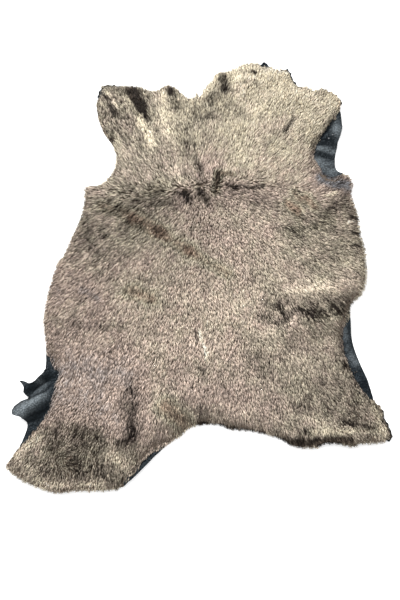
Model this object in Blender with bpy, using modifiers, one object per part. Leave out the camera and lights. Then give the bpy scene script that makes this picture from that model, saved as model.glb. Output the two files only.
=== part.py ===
"""A short-haired sheepskin, laid out flat with its coat up.

A sheepskin is one piece: the skin, about 2 mm of soft leather, with the coat growing out of it. It is
one solid here. The solid is thin along the four margins where the skin is bare, in the armpit and the
groin, and deep where it carries the coat. The low folds are hollow underneath, the edge lifts a little,
and the rest of the underside lies flat on the floor.

Metres, +Z up. The neck points to +Y, and the origin is on the floor under the middle of the outline.
"""

import math
from collections import namedtuple

import bpy
from mathutils import Vector, kdtree, noise
from mathutils.geometry import delaunay_2d_cdt

MM = 0.001
SAME_PLACE = 0.001 * MM

SKIN_THICKNESS = 2.2 * MM
COAT_DEPTH = 15 * MM  # skin and coat together, on the back
LEG_DEPTH = 10.5 * MM  # the same on the legs and the neck, where the hair is shorter
RIM_DEPTH = 5.5 * MM  # at the cut edge, where the hair leans over and hides the skin
HAIRLINE_DEPTH = 3.3 * MM  # at the edge of the hair on a bare margin
RISE = 20 * MM  # how far inside its edge the coat reaches its full depth

LOCK_PITCH = 14 * MM  # between the locks of hair that hang over the cut edge
LOCK_REACH = 3.2 * MM  # how far a lock stands out past the line of the edge
LOCK_NOTCH = 1.4 * MM  # how far the edge draws in between two locks
LOCK_SPREAD = 0.7  # how uneven the locks are

# The distances between the points of the mesh.
BARE_STEP = 8 * MM  # along a bare margin
FINE_LATTICE = 8 * MM  # inside a bare margin, whose folds are small
SHOULDER = 9 * MM  # from the coat's edge to the row of points that follows it inside
LATTICE = 20 * MM  # inside the coat
LEAST_GAP = 0.6  # the least distance between points, as a share of the spacing there
CURVE_STEPS = 24  # between two places of a smooth line, before it is divided evenly

LUMP_SIZE = 55 * MM  # the coat's lumps, from one to the next
LUMP_SHARE = 0.13  # how much they add to the coat's depth or take away

# The back is an oval. The hair begins to shorten inside it, and is as short as on the legs a little outside.
BACK_HALF_WIDTH = 300 * MM
BACK_HALF_LENGTH = 400 * MM
SHORTENING_FROM = 0.8  # shares of the oval's size
SHORTENING_TO = 1.3

LEATHER_BLACK = (0.055, 0.068, 0.078, 1)
COAT_TAUPE = (0.36, 0.31, 0.25, 1)

# A stretch of the outline. rim lists places that its edge passes through, and coat lists places along the
# edge of the hair where the margin is bare. Both share their first and last place.
Stretch = namedtuple("Stretch", "name rim coat")
# Places are (across, along) in millimetres, clockwise seen from above. Each stretch ends where the
# next starts.
STRETCHES = (
    Stretch(
        "neck",
        ((-1, 416), (7, 438), (30, 467), (40, 484), (72, 492), (112, 512), (153, 511), (158, 525),
         (164, 511), (190, 495), (216, 495), (228, 468), (240, 446)),
        None,
    ),
    Stretch(
        "right foreleg",
        ((240, 446), (262, 447), (275, 435), (287, 441), (304, 440), (329, 425), (344, 405),
         (340, 385)),
        None,
    ),
    Stretch(
        "right armpit",
        ((340, 385), (338, 367), (340, 330), (328, 292), (320, 258), (316, 231), (322, 214),
         (341, 205)),
        ((340, 385), (324, 365), (302, 323), (272, 286), (266, 254), (279, 219), (298, 194),
         (320, 192), (341, 205)),
    ),
    Stretch(
        "right flank",
        ((341, 205), (356, 181), (349, 144), (362, 93), (364, 50), (371, 15), (370, -48),
         (359, -92), (331, -122)),
        None,
    ),
    Stretch(
        "right groin",
        ((331, -122), (327, -170), (330, -213), (341, -252), (358, -298), (366, -328)),
        ((331, -122), (314, -161), (306, -212), (320, -256), (340, -299), (366, -328)),
    ),
    Stretch(
        "right hind leg",
        ((366, -328), (383, -350), (389, -375), (399, -404), (395, -418), (373, -425), (330, -427),
         (316, -433), (284, -427), (258, -427), (238, -435), (192, -432), (172, -419), (143, -408)),
        None,
    ),
    Stretch(
        "rump",
        ((143, -408), (98, -398), (58, -395), (44, -387), (6, -385), (-26, -395), (-42, -411),
         (-58, -420)),
        None,
    ),
    Stretch(
        "left hind leg, inner edge",
        ((-58, -420), (-89, -447), (-118, -477), (-140, -499), (-163, -517)),
        ((-58, -420), (-94, -434), (-121, -459), (-143, -486), (-163, -517)),
    ),
    Stretch(
        "left hind leg",
        ((-163, -517), (-200, -522), (-255, -522), (-293, -526), (-339, -512), (-371, -496),
         (-396, -477), (-399, -466), (-388, -452)),
        None,
    ),
    Stretch(
        "left groin",
        ((-388, -452), (-371, -424), (-361, -394), (-362, -381), (-374, -371), (-391, -366),
         (-388, -350), (-377, -338), (-361, -330), (-373, -318), (-372, -306), (-378, -299),
         (-386, -291), (-373, -294), (-358, -299), (-336, -276), (-331, -258), (-335, -211)),
        ((-388, -452), (-357, -418), (-329, -377), (-316, -344), (-309, -312), (-303, -286),
         (-310, -252), (-335, -211)),
    ),
    Stretch(
        "left flank",
        ((-335, -211), (-343, -160), (-338, -101), (-321, -24), (-305, 3), (-290, 48), (-275, 90),
         (-267, 145), (-268, 169), (-244, 171)),
        None,
    ),
    Stretch(
        "left foreleg",
        ((-244, 171), (-222, 186), (-203, 215), (-198, 245), (-207, 277), (-232, 315), (-248, 363),
         (-250, 398), (-243, 430), (-232, 444), (-189, 447), (-148, 444), (-128, 436), (-101, 433),
         (-80, 447), (-52, 432), (-36, 417), (-18, 412), (-9, 432), (-1, 416)),
        None,
    ),
)

# The folds and rises of the hide. Each is a soft ridge that runs from start to end, bowed sideways by bow at
# its middle. It is near high at its start and far high at its end, and dies away at width either side.
# All are in millimetres.
Fold = namedtuple("Fold", "name start end bow width near far")
FOLDS = (
    Fold("right flank, below its crease", (142, -206), (322, -158), 16, 46, 3, 10),
    Fold("right flank, above its crease", (214, -92), (346, -58), -12, 50, 2, 7),
    Fold("right flank, at the elbow", (236, 88), (352, 128), 10, 42, 1, 6),
    Fold("left hind leg, right of its crease", (-58, -282), (-76, -384), 9, 42, 2, 8),
    Fold("left hind leg, left of its crease", (-150, -292), (-148, -418), -14, 40, 3, 9),
    Fold("left hind leg, outer side", (-232, -330), (-262, -474), 18, 60, 1, 5),
    Fold("left hind leg, inner edge", (-78, -432), (-146, -500), 2, 18, 5, 7),
    Fold("left groin, bare lower fold", (-318, -318), (-383, -361), 5, 26, 12, 17),
    Fold("left groin, bare upper fold", (-318, -270), (-366, -304), -4, 20, 7, 12),
    Fold("right armpit, bare upper fold", (282, 306), (334, 320), -4, 18, 4, 8),
    Fold("right armpit, bare middle fold", (272, 268), (324, 279), 3, 15, 4, 8),
    Fold("right armpit, bare lower rise", (274, 230), (314, 240), 0, 22, 3, 6),
    Fold("right groin, bare edge", (318, -196), (348, -290), 0, 20, 3, 5),
    Fold("right foreleg, outer side", (226, 272), (312, 372), 14, 36, 2, 8),
    Fold("right foreleg, inner side", (148, 322), (222, 424), 12, 38, 2, 7),
    Fold("right hind leg, along its end", (186, -400), (340, -404), -9, 34, 3, 7),
    Fold("neck, behind the head", (40, 430), (128, 462), -10, 46, 3, 7),
    Fold("neck, beside the notch", (-66, 244), (-80, 424), 8, 36, 1, 8),
    Fold("left foreleg, inner pleat", (-112, 266), (-160, 400), -10, 32, 1, 7),
    Fold("left foreleg, outer pleat", (-176, 280), (-224, 428), 12, 34, 1, 8),
    Fold("left flank, at the elbow", (-206, 120), (-262, 158), 6, 30, 1, 5),
    Fold("withers", (-34, 146), (58, 156), 6, 56, 4, 5),
    Fold("back", (-20, -40), (-150, 20), 24, 80, 2, 4),
)
FOLD_FADE = 0.35  # the share of a fold's length over which it comes up at its start
FOLD_START = 0.4  # how much of its height it has at the very start

# The skin lies flat on the floor between these corners, in millimetres, and its edge lifts past them.
REST_CORNERS = ((-189, 424), (182, 476), (318, 410), (374, -392), (-190, -485), (-330, -470), (-310, -120))
EDGE_LIFT = 3.5 * MM
EDGE_WIDTH = 40 * MM  # how far past the corners the edge has lifted fully


def catmull_rom(before, start, end, after, share):
    """The point at share of the way from start to end on a smooth line through four places."""
    return 0.5 * (
        2 * start
        + (end - before) * share
        + (2 * before - 5 * start + 4 * end - after) * share**2
        + (3 * start - before - 3 * end + after) * share**3
    )


def smooth_line(places, before=None, after=None, step=BARE_STEP):
    """Points about step apart on a smooth line through places, both ends included."""
    points = [Vector(p) * MM for p in places]
    first = Vector(before) * MM if before else 2 * points[0] - points[1]
    last = Vector(after) * MM if after else 2 * points[-1] - points[-2]
    guides = [first, *points, last]
    fine = [
        catmull_rom(*guides[i : i + 4], k / CURVE_STEPS)
        for i in range(len(points) - 1)
        for k in range(CURVE_STEPS)
    ]
    fine.append(points[-1])
    lengths = [0.0]
    for a, b in zip(fine, fine[1:]):
        lengths.append(lengths[-1] + (b - a).length)
    count = max(2, round(lengths[-1] / step))
    line, k = [], 0
    for i in range(count + 1):
        wanted = lengths[-1] * i / count
        while k < len(fine) - 2 and lengths[k + 1] < wanted:
            k += 1
        share = (wanted - lengths[k]) / max(lengths[k + 1] - lengths[k], 1e-9)
        line.append(fine[k].lerp(fine[k + 1], min(share, 1)))
    return line


def with_locks(line):
    """The line of a hairy edge, with every other point drawn out as the tip of a lock."""
    out = [line[0]]
    for i in range(1, len(line) - 1):
        along = (line[i + 1] - line[i - 1]).normalized()
        outward = Vector((-along.y, along.x))
        reach = LOCK_REACH if i % 2 else -LOCK_NOTCH
        uneven = 1 + LOCK_SPREAD * (noise.noise(Vector((*line[i], 0)) / LOCK_PITCH) - 0.5)
        out.append(line[i] + outward * reach * uneven)
    out.append(line[-1])
    return out


def outline():
    """The edge of the skin, the edge of the coat, and the part of the coat's edge that crosses the skin."""
    rim, coat, across = [], [], []
    for i, stretch in enumerate(STRETCHES):
        before = STRETCHES[i - 1].rim[-2]
        after = STRETCHES[(i + 1) % len(STRETCHES)].rim[1]
        if stretch.coat:
            edge = smooth_line(stretch.rim, before, after)
            hair = smooth_line(stretch.coat)
            rim += edge[:-1]
            coat += hair[:-1]
            across.append(hair)
        else:
            edge = with_locks(smooth_line(stretch.rim, before, after, LOCK_PITCH / 2))
            rim += edge[:-1]
            coat += edge[:-1]
    return rim, coat, across


def inside(point, ring):
    """True if point lies within the closed ring of points."""
    found = False
    for a, b in zip(ring, ring[1:] + ring[:1]):
        if (a.y > point.y) != (b.y > point.y):
            crossing = a.x + (point.y - a.y) / (b.y - a.y) * (b.x - a.x)
            found ^= point.x < crossing
    return found


def nearest_to(points):
    """A function that gives the distance from a place to the nearest of points."""
    tree = kdtree.KDTree(len(points))
    for i, point in enumerate(points):
        tree.insert((*point, 0), i)
    tree.balance()
    return lambda place: tree.find((place[0], place[1], 0))[2]


def lattice(ring, spacing):
    """Places in staggered rows, spacing apart, within the ring."""
    low = Vector((min(p.x for p in ring), min(p.y for p in ring)))
    high = Vector((max(p.x for p in ring), max(p.y for p in ring)))
    rise = spacing * math.sqrt(0.75)
    for row in range(int((high.y - low.y) / rise) + 1):
        start = low.x + (row % 2) * spacing / 2
        for column in range(int((high.x - low.x) / spacing) + 1):
            place = Vector((start + column * spacing, low.y + row * rise))
            if inside(place, ring):
                yield place


def shoulder_line(coat):
    """Places just inside the coat's edge, where it has risen from the edge."""
    to_edge = nearest_to(coat)
    chosen = []
    for i in range(0, len(coat), 2):
        along = coat[(i + 3) % len(coat)] - coat[i - 3]
        place = coat[i] + Vector((along.y, -along.x)).normalized() * SHOULDER
        clear = all((place - other).length > LEAST_GAP * SHOULDER for other in chosen)
        if clear and inside(place, coat) and to_edge(place) > LEAST_GAP * SHOULDER:
            chosen.append(place)
    return chosen


def fold_height(place):
    """How high the folds lift the underside of the skin from the floor."""
    height = 0.0
    for fold in FOLDS:
        start, end = Vector(fold.start) * MM, Vector(fold.end) * MM
        along = end - start
        share = (place - start).dot(along) / along.length_squared
        on_it = max(0.0, min(1.0, share))
        sideways = Vector((-along.y, along.x)).normalized() * fold.bow * MM * math.sin(math.pi * on_it)
        away = (place - start - along * on_it - sideways).length / (fold.width * MM)
        if away < 1:
            crest = fold.near + (fold.far - fold.near) * on_it
            shoulder = min(1.0, on_it / FOLD_FADE)
            crest *= FOLD_START + (1 - FOLD_START) * shoulder * shoulder * (3 - 2 * shoulder)
            height += crest * MM * (1 - away**2) ** 2
    return height


def edge_lift(place):
    """How high the skin has lifted from the floor past the corners that it rests on."""
    corners = [Vector(corner) * MM for corner in REST_CORNERS]
    past = 0.0
    for a, b in zip(corners, corners[1:] + corners[:1]):
        outward = Vector((a.y - b.y, b.x - a.x)).normalized()
        past = max(past, (place - a).dot(outward) - SAME_PLACE)
    return EDGE_LIFT * math.sqrt(min(1.0, past / EDGE_WIDTH))


def coat_depth(place, to_edge):
    """The height of the coat's surface over the underside of the skin, to_edge inside the coat's edge."""
    out = math.hypot(place.x / BACK_HALF_WIDTH, place.y / BACK_HALF_LENGTH)
    shortened = (out - SHORTENING_FROM) / (SHORTENING_TO - SHORTENING_FROM)
    shortened = max(0.0, min(1.0, shortened))
    full = COAT_DEPTH + (LEG_DEPTH - COAT_DEPTH) * shortened
    lumps = noise.fractal(Vector((*place, 0)) / LUMP_SIZE, 1.0, 2.0, 2)
    full *= 1 + LUMP_SHARE * lumps
    risen = min(1.0, to_edge / RISE)
    return RIM_DEPTH + (full - RIM_DEPTH) * math.sqrt(risen)


def hide_sheet():
    """The underside of the skin as an open mesh, and the depth of skin and coat over each vertex."""
    rim, coat, across = outline()
    to_rim, to_coat = nearest_to(rim), nearest_to(coat)
    bare_margins = [p for p in lattice(rim, FINE_LATTICE) if not inside(p, coat)]
    bare_margins = [p for p in bare_margins if min(to_rim(p), to_coat(p)) > LEAST_GAP * FINE_LATTICE]
    shoulder = shoulder_line(coat)
    to_shoulder = nearest_to(shoulder)
    rests = [Vector(corner) * MM for corner in REST_CORNERS]
    to_rest = nearest_to(rests)
    back = [p for p in lattice(coat, LATTICE) if to_coat(p) > SHOULDER]
    back = [p for p in back if min(to_shoulder(p), to_rest(p)) > LEAST_GAP * LATTICE]

    places = list(rim)
    edges = [(i, (i + 1) % len(rim)) for i in range(len(rim))]
    for hair in across:
        inner = range(len(places), len(places) + len(hair) - 2)
        places += hair[1:-1]
        ends = [min(range(len(rim)), key=lambda i: (rim[i] - end).length) for end in (hair[0], hair[-1])]
        chain = [ends[0], *inner, ends[1]]
        edges += zip(chain, chain[1:])
    hairline = set(range(len(rim), len(places)))
    places += bare_margins + shoulder + rests + back
    within_outline = 1  # the faces to keep
    flat, _, faces, sources, _, _ = delaunay_2d_cdt(places, edges, [], within_outline, SAME_PLACE)

    depths = []
    for place, source in zip(flat, sources):
        if hairline.intersection(source):
            depth = HAIRLINE_DEPTH
        elif inside(place, coat) or to_coat(place) < SAME_PLACE:
            depth = coat_depth(place, to_coat(place))
        else:
            depth = SKIN_THICKNESS
        depths.append(depth)
    middle = Vector([(min(p[k] for p in rim) + max(p[k] for p in rim)) / 2 for k in (0, 1)])
    mesh = bpy.data.meshes.new("sheepskin")
    underside = [(*(p - middle), fold_height(p) + edge_lift(p)) for p in flat]
    mesh.from_pydata(underside, [], [tuple(face) for face in faces])
    return mesh, depths


def material(name, colour, roughness):
    made = bpy.data.materials.new(name)
    made.use_nodes = True
    shader = made.node_tree.nodes["Principled BSDF"]
    shader.inputs["Base Color"].default_value = colour
    shader.inputs["Roughness"].default_value = roughness
    shader.inputs["Metallic"].default_value = 0
    made.diffuse_color = colour
    return made


def sheepskin(collection):
    """The whole hide: an open sheet in the shape of the underside, thickened upwards by the coat's depth."""
    mesh, depths = hide_sheet()
    hide = bpy.data.objects.new("sheepskin", mesh)
    collection.objects.link(hide)
    mesh.materials.append(material("coat", COAT_TAUPE, 0.9))
    mesh.materials.append(material("bare leather", LEATHER_BLACK, 0.5))
    deepest = max(depths)
    shares = hide.vertex_groups.new(name="depth")
    for i, depth in enumerate(depths):
        shares.add([i], depth / deepest, "REPLACE")
    for face in mesh.polygons:
        bare = all(depths[i] < RIM_DEPTH for i in face.vertices)
        face.material_index = int(bare)
    coat = hide.modifiers.new("coat and skin", "SOLIDIFY")
    coat.thickness = deepest
    coat.offset = 1
    coat.vertex_group = shares.name
    coat.thickness_vertex_group = 0
    mesh.shade_smooth()
    return hide


def main():
    for old in list(bpy.data.objects):
        bpy.data.objects.remove(old)
    collection = bpy.data.collections.new("Sheepskin")
    bpy.context.scene.collection.children.link(collection)
    sheepskin(collection)


main()
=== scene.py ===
# %% [markdown]
# # A short-haired sheepskin
# A sheepskin is a soft skin with hair standing on it. The imported model gives its true size: the cut edge,
# the low folds, and how deep the coat is at each place. This script dresses that form in three layers, as a
# real skin has them: the leather, a dense underwool whose dark brown is partly painted shade between the
# hairs, and about two hundred thousand hairs in small locks.
#
# The first cell loads the imported model and keeps its box.

# %% Load the imported model
import math
from collections import namedtuple

import bmesh
import bpy
import numpy as np
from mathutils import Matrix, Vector, kdtree, noise
from mathutils.bvhtree import BVHTree


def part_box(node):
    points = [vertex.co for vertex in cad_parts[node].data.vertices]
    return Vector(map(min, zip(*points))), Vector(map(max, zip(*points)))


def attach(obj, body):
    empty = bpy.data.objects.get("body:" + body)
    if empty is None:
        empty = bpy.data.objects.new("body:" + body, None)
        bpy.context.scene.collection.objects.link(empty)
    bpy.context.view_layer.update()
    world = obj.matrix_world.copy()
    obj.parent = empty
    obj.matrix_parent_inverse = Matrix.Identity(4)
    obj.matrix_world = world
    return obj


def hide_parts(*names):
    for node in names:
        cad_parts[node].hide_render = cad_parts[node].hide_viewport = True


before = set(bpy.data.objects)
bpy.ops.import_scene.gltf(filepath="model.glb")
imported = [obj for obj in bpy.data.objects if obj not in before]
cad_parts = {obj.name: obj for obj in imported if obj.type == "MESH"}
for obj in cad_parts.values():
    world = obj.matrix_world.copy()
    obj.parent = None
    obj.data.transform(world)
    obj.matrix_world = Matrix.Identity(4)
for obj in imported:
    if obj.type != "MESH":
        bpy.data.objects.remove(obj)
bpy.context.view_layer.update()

MM = 0.001
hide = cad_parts["sheepskin"]
low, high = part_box("sheepskin")
print("hide", [round((b - a) / MM) for a, b in zip(low, high)], "mm")

# %% [markdown]
# ## Camera, light and floor
# The skin lies on the floor with the camera high over its rump, 20 degrees short of straight down. A long
# lens from 1.75 m keeps it undistorted. One soft sun from beyond its left shoulder draws the folds and the
# locks, and a white sky fills their shadows. A sun was chosen over a lamp because it lights every part of
# the floor alike, so the pale floor stays even.

# %% Camera
LENS = 47.5  # millimetres, on a 36 mm frame
DISTANCE = 1.75
ELEVATION = math.radians(70)
TARGET = Vector((0, -106 * MM, 0))  # the middle of the picture, on the floor

camera = bpy.data.objects.new("camera", bpy.data.cameras.new("camera"))
camera.data.lens = LENS
camera.location = TARGET + DISTANCE * Vector((0, -math.cos(ELEVATION), math.sin(ELEVATION)))
camera.rotation_euler = (math.pi / 2 - ELEVATION, 0, 0)
bpy.context.scene.collection.objects.link(camera)
bpy.context.scene.camera = camera
print("camera at", [round(c, 2) for c in camera.location], "m")

# %% Light
SUN_STRENGTH = 5.8
SUN_SOFTNESS = math.radians(9)
SUN_HEIGHT = math.radians(36)
SUN_SIDE = math.radians(36)  # to the left of the neck
SKY_STRENGTH = 1.10

sun = bpy.data.objects.new("sun", bpy.data.lights.new("sun", "SUN"))
sun.data.energy = SUN_STRENGTH
sun.data.angle = SUN_SOFTNESS
sun.rotation_euler = (SUN_HEIGHT - math.pi / 2, 0, SUN_SIDE)
bpy.context.scene.collection.objects.link(sun)

world = bpy.data.worlds.new("sky")
world.use_nodes = True
world.node_tree.nodes["Background"].inputs["Color"].default_value = (1, 1, 1, 1)
world.node_tree.nodes["Background"].inputs["Strength"].default_value = SKY_STRENGTH
bpy.context.scene.world = world
bpy.context.scene.view_settings.view_transform = "Standard"
print("sun", round(math.degrees(SUN_HEIGHT)), "degrees above the floor")

# %% Floor
FLOOR_SIZE = 12
FLOOR_GLOW = 0.30  # keeps the skin's shadow on it faint

shape = bmesh.new()
bmesh.ops.create_grid(shape, x_segments=1, y_segments=1, size=FLOOR_SIZE / 2)
floor_mesh = bpy.data.meshes.new("floor")
shape.to_mesh(floor_mesh)
shape.free()
floor = bpy.data.objects.new("floor", floor_mesh)
bpy.context.scene.collection.objects.link(floor)

paper = bpy.data.materials.new("white paper")
paper.use_nodes = True
for socket, value in (
    ("Base Color", (0.93, 0.93, 0.93, 1)),
    ("Roughness", 1),
    ("Specular IOR Level", 0),
    ("Emission Color", (1, 1, 1, 1)),
    ("Emission Strength", FLOOR_GLOW),
):
    paper.node_tree.nodes["Principled BSDF"].inputs[socket].default_value = value
floor_mesh.materials.append(paper)
print("floor", FLOOR_SIZE, "m across")

# %% [markdown]
# ## Reading the form
# Every layer needs the same facts about a place on the hide: how high its underside is, how high the coat
# reaches, and how far away the cut edge is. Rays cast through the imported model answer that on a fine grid,
# and a small sampling function reads between the grid's points. Casting once and sampling often is far
# quicker than a ray for each hair.

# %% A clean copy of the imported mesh
SAME_PLACE = 0.01 * MM

solid = bmesh.new()
solid.from_mesh(hide.data)
bmesh.ops.remove_doubles(solid, verts=solid.verts, dist=SAME_PLACE)
solid_tree = BVHTree.FromBMesh(solid)
print("packed mesh", len(solid.faces), "faces")

# %% The upper surface alone
FACES_UP = 0.15  # the least upward share of a face's normal

lid = solid.copy()
lid.normal_update()
sides = [f for f in lid.faces if f.normal.z < FACES_UP]
bmesh.ops.delete(lid, geom=sides, context="FACES")
print("upper surface", len(lid.faces), "faces,", sum(e.is_boundary for e in lid.edges), "edges round it")

# %% Heights on a grid
STEP = 2.5 * MM
MARGIN = 30 * MM

columns = np.arange(low[0] - MARGIN, high[0] + MARGIN, STEP)
rows = np.arange(low[1] - MARGIN, high[1] + MARGIN, STEP)
under = np.full((len(rows), len(columns)), np.nan)
top = under.copy()
level = under.copy()  # 1 where the surface is level, towards 0 where it is steep
DOWN = Vector((0, 0, -1))
for j, y in enumerate(rows):
    for i, x in enumerate(columns):
        above, facing = solid_tree.ray_cast(Vector((x, y, 1)), DOWN)[:2]
        if above:
            top[j, i] = above.z
            level[j, i] = max(facing.z, 0)
            under[j, i] = solid_tree.ray_cast(Vector((x, y, -1)), -DOWN)[0].z
covered = ~np.isnan(top)
print("grid", top.shape, "with", int(covered.sum()), "places on the hide")

# %% How far each place is from the cut edge
RIM_STEP = 1.5 * MM

rim_points = []
for edge in lid.edges:
    if edge.is_boundary:
        a, b = (v.co.xy for v in edge.verts)
        parts = max(1, round((b - a).length / RIM_STEP))
        rim_points += [a.lerp(b, k / parts) for k in range(parts)]


def distances_to(points):
    """The distance from each place of the grid to the nearest of points."""
    tree = kdtree.KDTree(len(points))
    for i, p in enumerate(points):
        tree.insert((p[0], p[1], 0), i)
    tree.balance()
    return np.array([[tree.find((x, y, 0))[2] for x in columns] for y in rows])


inside_rim = np.where(covered, 1, -1) * distances_to(rim_points)
print(len(rim_points), "points along the cut edge")

# %% [markdown]
# Hair stops where the sheet is thin. At a few places it also stops short of the cut edge, so that the
# leather's black edge shows past it, and along the hairline of the armpit and the groins narrow strips of
# skin are bald. Two short tables name these places.

# %% How far each place is inside the coat
BARE_DEPTH = 2.75 * MM  # what is thinner than this carries no hair
BESIDE = 15 * MM  # how near to its line a bare edge reaches
Strip = namedtuple("Strip", "name start end width")
BARE_EDGES = [Strip(*row) for row in (
    ("neck, right side", (212, 488), (240, 436), 6),
    ("right foreleg's end", (300, 434), (342, 398), 3),
    ("left foreleg's end", (-240, 422), (-222, 436), 6),
    ("left foreleg's end, its top", (-211, 439), (-208, 440), 6),
    ("right hind leg, outer edge", (378, -366), (398, -414), 3.5),
    ("spike at the neck's tip", (160, 512), (163, 524), 12),
)]
BALD_STRIPS = [Strip(*row) for row in (
    ("left groin, upper hairline", (-302, -268), (-312, -299), 5),
    ("left groin, hairline", (-312, -299), (-322, -348), 8),
    ("left groin, lower hairline", (-322, -348), (-350, -392), 8),
    ("armpit, upper hairline", (320, 345), (288, 297), 6),
    ("armpit, lower hairline", (272, 252), (292, 212), 8),
    ("right groin, at its top", (312, -172), (311, -222), 4.5),
    ("right groin, hairline", (311, -222), (329, -278), 4.5),
    ("right groin, lower hairline", (329, -278), (348, -312), 4),
    ("right groin, its end", (350, -308), (362, -324), 6),
)]


def away_from(start, end, x, y):
    """The distance from each x, y to the line from start to end, both in millimetres."""
    start, end = np.array(start) * MM, np.array(end) * MM
    along = end - start
    share = np.clip(((x - start[0]) * along[0] + (y - start[1]) * along[1]) / (along @ along), 0, 1)
    return np.hypot(x - start[0] - share * along[0], y - start[1] - share * along[1])


thick_enough = np.nan_to_num((top - under) * level) > BARE_DEPTH
grid_x, grid_y = np.meshgrid(columns, rows)
kept_clear = np.zeros_like(covered)
for edge in BARE_EDGES:
    beside = away_from(edge.start, edge.end, grid_x, grid_y) < BESIDE
    kept_clear |= beside & (inside_rim < edge.width * MM)
bald_strip = np.zeros_like(covered)
for strip in BALD_STRIPS:
    bald_strip |= away_from(strip.start, strip.end, grid_x, grid_y) < strip.width * MM
hairy = covered & thick_enough & ~kept_clear & ~bald_strip
bald = ~hairy
near_hair = np.zeros_like(hairy)
for shift in (-1, 1):
    near_hair |= np.roll(hairy, shift, 0) | np.roll(hairy, shift, 1)
last_bald = np.argwhere(bald & near_hair)
inside_coat = distances_to([(columns[i], rows[j]) for j, i in last_bald]) - STEP / 2
inside_coat[bald] *= -1
print("coat covers", round(float(hairy.sum() * STEP**2), 3), "square metres")

# %% Carry the heights past the edge, then sample between the grid's points


def spread_out(grid, times):
    """Fills the empty places next to full ones with their neighbours' mean, times over."""
    grid = grid.copy()
    for _ in range(times):
        sides = np.stack([np.roll(grid, s, a) for s in (-1, 1) for a in (0, 1)])
        known = ~np.isnan(sides)
        mean = np.where(known, sides, 0).sum(0) / np.maximum(known.sum(0), 1)
        fill = np.isnan(grid) & known.any(0)
        grid[fill] = mean[fill]
    return np.nan_to_num(grid)


def sample(grid, x, y):
    """The grid's value at x, y, worked out between its four nearest places."""
    u = np.clip((np.asarray(x) - columns[0]) / STEP, 0, len(columns) - 1.001)
    v = np.clip((np.asarray(y) - rows[0]) / STEP, 0, len(rows) - 1.001)
    i, j = u.astype(int), v.astype(int)
    u, v = u - i, v - j
    near = grid[j, i] * (1 - u) + grid[j, i + 1] * u
    far = grid[j + 1, i] * (1 - u) + grid[j + 1, i + 1] * u
    return near * (1 - v) + far * v


SKIN = 1.8 * MM  # the leather's thickness
BED_SHARE = 0.72  # how much of the coat's height the dense underwool fills

under = spread_out(under, round(MARGIN / STEP))
top = spread_out(top, round(MARGIN / STEP))
bed = under + SKIN + BED_SHARE * np.maximum(top - under - SKIN, 0)
print("leather and coat together, up to", round(float((top - under).max() / MM), 1), "mm")

# %% [markdown]
# ## Small tools for materials
# Each material is a Principled shader with a few texture nodes in front of it. These helpers add a node, set
# its sockets by name and link it, so that each material below reads as a list of what it does.

# %% Node helpers


def new_material(name, roughness, shine):
    """A material with its shader, and a function that adds nodes to it."""
    made = bpy.data.materials.new(name)
    made.use_nodes = True
    tree = made.node_tree
    shader = tree.nodes["Principled BSDF"]
    shader.inputs["Roughness"].default_value = roughness
    shader.inputs["Specular IOR Level"].default_value = shine

    def add(kind, settings=(), **sockets):
        node = tree.nodes.new("ShaderNode" + kind)
        for key, value in dict(settings).items():
            setattr(node, key, value)
        for key, value in sockets.items():
            socket = node.inputs[key.replace("_", " ")]
            if isinstance(value, bpy.types.NodeSocket):
                tree.links.new(value, socket)
            else:
                socket.default_value = value
        return node

    return made, shader, add, tree.links.new


def mix(add, link, factor, a, b, blend="MIX"):
    """A colour between a and b, each a socket or a fixed colour."""
    node = add("Mix", {"data_type": "RGBA", "blend_type": blend})
    for index, value in ((0, factor), (6, a), (7, b)):
        if isinstance(value, bpy.types.NodeSocket):
            link(value, node.inputs[index])
        else:
            node.inputs[index].default_value = value
    return node.outputs[2]


def ramp(add, factor, stops):
    """A colour ramp with stops of (place, colour)."""
    node = add("ValToRGB", Fac=factor)
    while len(node.color_ramp.elements) < len(stops):
        node.color_ramp.elements.new(0.5)
    for element, (place, colour) in zip(node.color_ramp.elements, stops):
        element.position = place
        element.color = colour
    return node.outputs["Color"]


def grey(value):
    """An even grey, as a colour."""
    return (value, value, value, 1)


def stored(add, name):
    """What the mesh's points carry under name."""
    return add("Attribute", {"attribute_name": name}).outputs["Fac"]


def add_piece(name, mesh_or_bmesh, *materials):
    """An object at the origin for a finished mesh, riding on the part's one body."""
    if isinstance(mesh_or_bmesh, bmesh.types.BMesh):
        mesh = bpy.data.meshes.new(name)
        mesh_or_bmesh.to_mesh(mesh)
        mesh_or_bmesh.free()
    else:
        mesh = mesh_or_bmesh
    for material in materials:
        mesh.materials.append(material)
    mesh.shade_smooth()
    piece = bpy.data.objects.new(name, mesh)
    bpy.context.scene.collection.objects.link(piece)
    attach(piece, "root")
    return piece


# %% [markdown]
# ## The leather
# The skin itself is a soft black leather sheet. It shows in the armpit and the groins, where a sheep has
# next to no hair, and hides under the coat elsewhere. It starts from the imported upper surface, lowered onto
# the underside. Where it shows, its faces are divided finely enough to carry real creases. A thickness comes
# last.

# %% Divide the bare margins finely
BARE_CUTS = 4
BARE_FROM = 0.5 * MM  # past the coat's edge

skin = lid.copy()


def is_bare(vertex):
    """Whether a vertex of the leather lies outside the coat."""
    return float(sample(inside_coat, vertex.co.x, vertex.co.y)) < -BARE_FROM


margin = [e for e in skin.edges if is_bare(e.verts[0]) or is_bare(e.verts[1])]
bmesh.ops.subdivide_edges(skin, edges=margin, cuts=BARE_CUTS, use_grid_fill=True)
bmesh.ops.triangulate(skin, faces=[f for f in skin.faces if len(f.verts) > 4])
print("leather sheet", len(skin.faces), "faces")

# %% Draw the edge in under the hair, and lower the sheet onto the underside
HAIR_HANGS = 3 * MM  # past the coat's edge

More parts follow.
